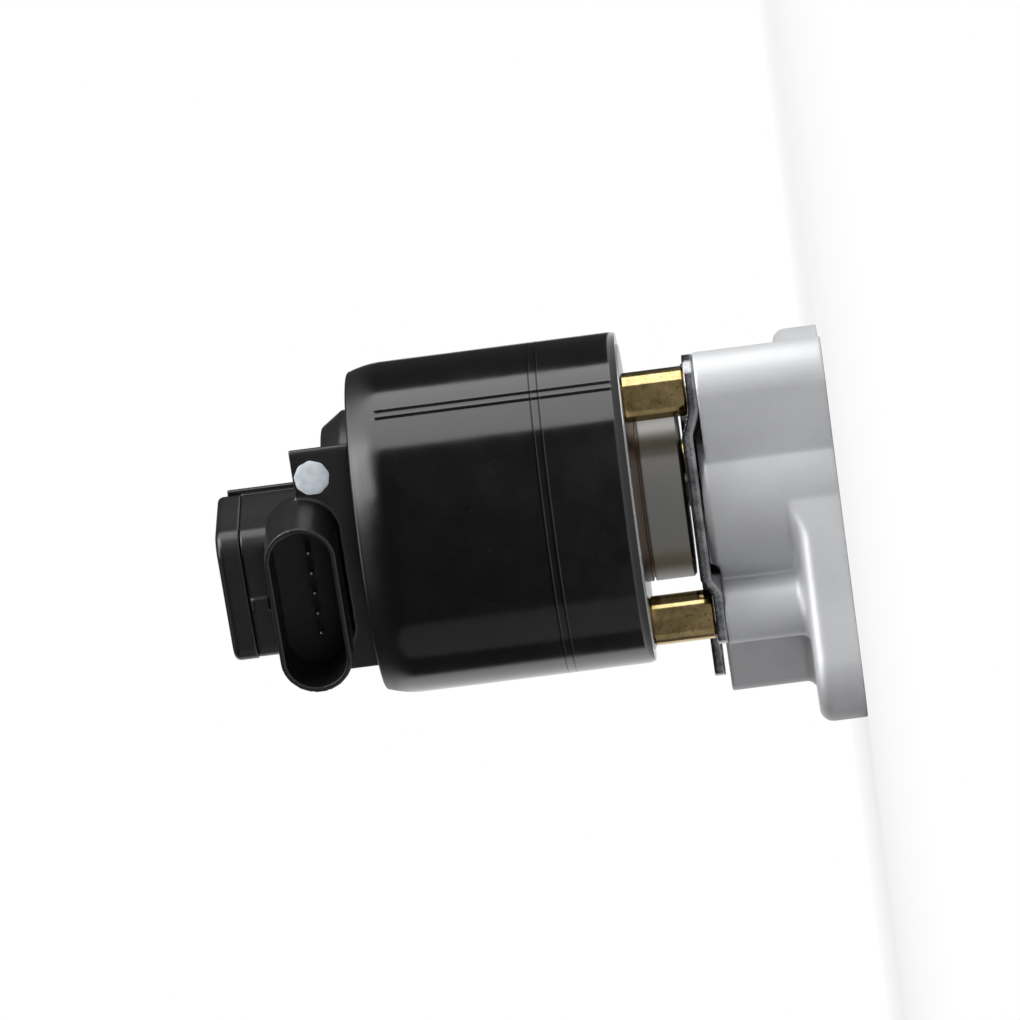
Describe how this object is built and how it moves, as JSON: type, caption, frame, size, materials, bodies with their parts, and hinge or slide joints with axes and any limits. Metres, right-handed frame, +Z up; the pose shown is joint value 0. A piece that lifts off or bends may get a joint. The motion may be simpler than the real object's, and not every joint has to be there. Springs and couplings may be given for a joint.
{
  "type": "egr valve",
  "caption": "Solenoid exhaust gas recirculation valve: cast flanged base, columns, black solenoid and a position sensor with a side connector; the pintle lifts off its seat.",
  "frame": {"origin": "on the valve axis, in the plane of the mounting face", "axes": "+Z up the valve axis from the mounting face to the sensor; the connector faces -Y"},
  "size_m": [0.0749, 0.0807, 0.1113],
  "materials": {
    "cast_aluminium": "as cast, satin",
    "hardened_steel": "ground",
    "sintered_bronze": "sintered, matte",
    "stamped_steel": "stamped, dull",
    "turned_steel": "turned",
    "zinc_steel": "yellow chromate on steel",
    "bolt_steel": "zinc plated",
    "black_moulding": "gloss black",
    "sensor_plastic": "satin black",
    "bobbin_plastic": "natural nylon",
    "copper_wire": "enamelled",
    "sleeve_brass": "drawn",
    "spring_steel": "drawn wire",
    "seal_rubber": "matte",
    "tinned_terminal": "tin plated",
    "board_laminate": "laminate"
  },
  "bodies": {
    "valve_body": {"base_casting": "cast_aluminium", "valve_seat": "hardened_steel", "guide_bushing": "sintered_bronze", "shield_plate": "stamped_steel", "assembly_bolts": "bolt_steel", "lower_pole_piece": "turned_steel", "lower_flux_plate": "turned_steel", "solenoid_shell": "black_moulding", "flux_tube": "turned_steel", "coil_bobbin": "bobbin_plastic", "coil_winding": "copper_wire", "armature_sleeve": "sleeve_brass", "upper_pole_piece": "turned_steel", "return_spring": "spring_steel", "sensor_housing": "sensor_plastic", "sensor_cap": "sensor_plastic", "sensor_o_ring": "seal_rubber", "connector_pins": "tinned_terminal", "plunger_spring": "spring_steel", "sensor_board": "board_laminate", "standoff_tube_1": "zinc_steel", "standoff_tube_2": "zinc_steel", "standoff_tube_3": "zinc_steel"},
    "pintle_group": {"pintle": "hardened_steel", "armature": "turned_steel", "armature_clip": "spring_steel"},
    "sensor_slider": {"sensor_plunger": "bobbin_plastic", "wiper": "sleeve_brass"}
  },
  "joints": [
    {"name": "pintle_lift", "type": "slide", "parent": "valve_body", "child": "pintle_group", "axis": [0, 0, 1], "range_m": [0, 0.0045], "stiffness_N_per_m": 3000, "springref_m": -0.004, "deforming": ["return_spring"]},
    {"name": "sensor_follow", "type": "slide", "parent": "valve_body", "child": "sensor_slider", "axis": [0, 0, 1], "range_m": [0, 0.0045], "stiffness_N_per_m": 150, "springref_m": -0.004, "deforming": ["plunger_spring"]}
  ],
  "couplings": [
    {"joint": "sensor_follow", "follows": "pintle_lift", "ratio": 1}
  ]
}
